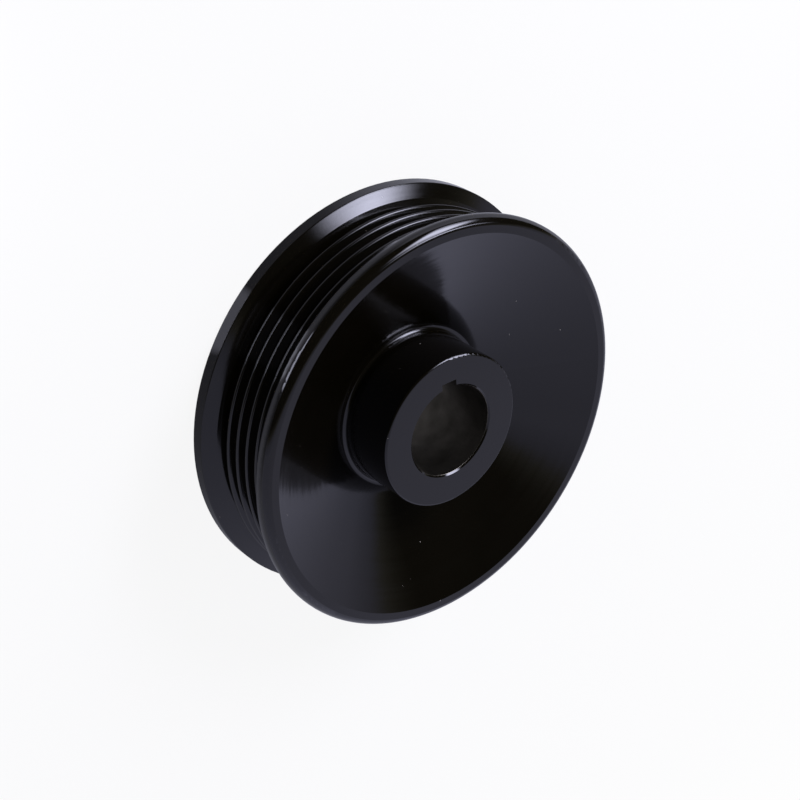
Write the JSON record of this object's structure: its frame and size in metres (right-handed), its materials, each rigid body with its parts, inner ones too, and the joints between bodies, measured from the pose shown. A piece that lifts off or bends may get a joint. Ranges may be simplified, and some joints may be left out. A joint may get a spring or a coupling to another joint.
{
  "type": "alternator pulley",
  "caption": "Turned steel pulley for a ribbed belt, with V grooves between its flanges, a conical front dish, a hub and a keyed shaft bore, coated gloss black.",
  "frame": {"origin": "centre of the flat rear face, on the shaft axis", "axes": "+Z along the shaft axis from the rear face to the hub end, +Y through the middle of the keyway"},
  "size_m": [0.1, 0.1, 0.0285],
  "materials": {
    "black_coating": "gloss"
  },
  "bodies": {
    "root": {"pulley": "black_coating"}
  },
  "joints": []
}
